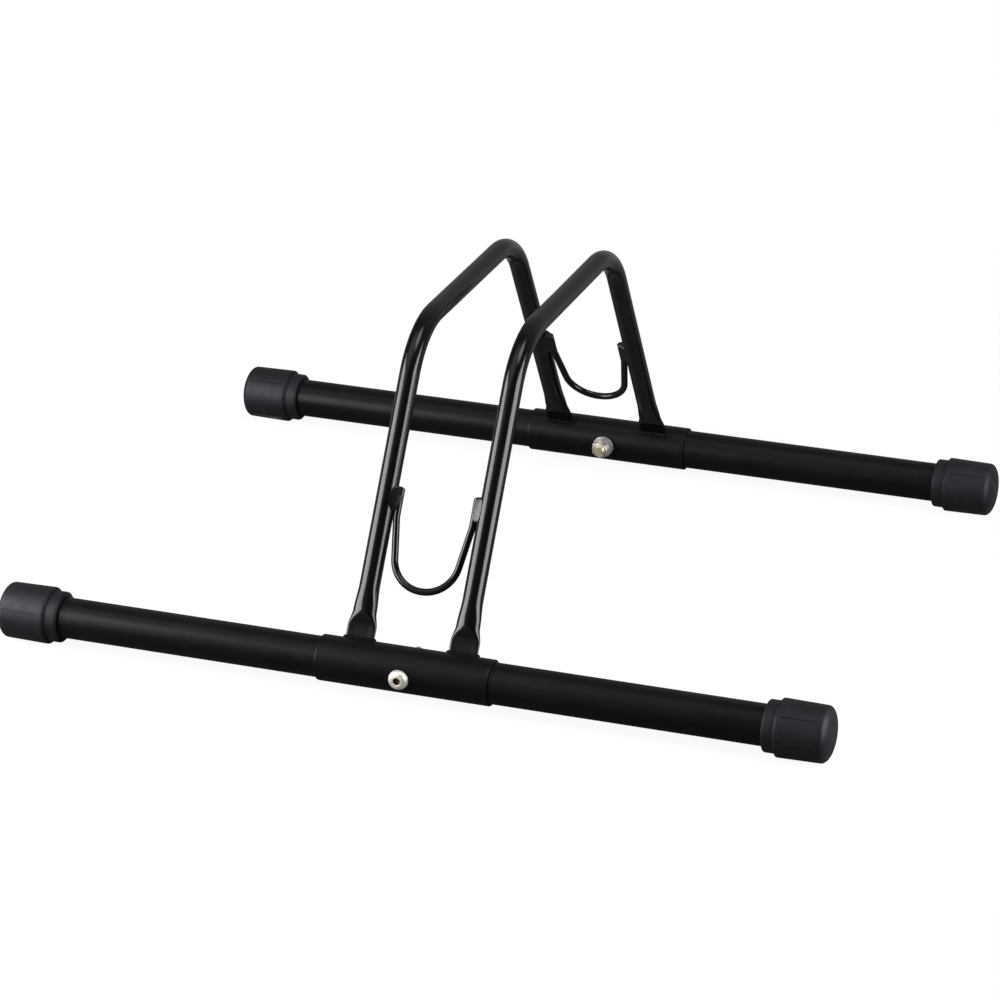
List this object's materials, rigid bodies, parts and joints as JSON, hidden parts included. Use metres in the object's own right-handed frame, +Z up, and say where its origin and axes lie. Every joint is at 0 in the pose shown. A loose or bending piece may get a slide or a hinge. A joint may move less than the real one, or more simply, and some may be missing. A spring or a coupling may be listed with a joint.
{
  "type": "floor bike rack",
  "caption": "Free-standing floor rack that holds a bicycle upright by a wheel, between bent-tube hoops and over wire cradles, on capped base bars.",
  "frame": {"origin": "on the floor, in the middle of the rack", "axes": "+X along the base bars to the right of someone in front, +Y from the front bar to the rear bar, +Z up"},
  "size_m": [0.6035, 0.4882, 0.2262],
  "materials": {
    "satin_black": "satin black paint on steel tube",
    "gloss_black": "gloss black paint on steel tube and wire",
    "rubber": "smooth moulded grey-black rubber",
    "zinc": "bright zinc plate",
    "nylon": "pale nylon"
  },
  "bodies": {
    "root": {"left_hoop": "gloss_black", "right_hoop": "gloss_black", "front_sleeve": "satin_black", "front_base_bar": "satin_black", "front_bolt": "zinc", "front_washer": "zinc", "front_lock_nut": "zinc", "front_nut_insert": "nylon", "front_cradle_wire": "gloss_black", "front_left_foot_weld": "satin_black", "front_left_wire_weld": "gloss_black", "front_left_end_cap": "rubber", "front_right_foot_weld": "satin_black", "front_right_wire_weld": "gloss_black", "front_right_end_cap": "rubber", "rear_sleeve": "satin_black", "rear_base_bar": "satin_black", "rear_bolt": "zinc", "rear_washer": "zinc", "rear_lock_nut": "zinc", "rear_nut_insert": "nylon", "rear_cradle_wire": "gloss_black", "rear_left_foot_weld": "satin_black", "rear_left_wire_weld": "gloss_black", "rear_left_end_cap": "rubber", "rear_right_foot_weld": "satin_black", "rear_right_wire_weld": "gloss_black", "rear_right_end_cap": "rubber"}
  },
  "joints": []
}
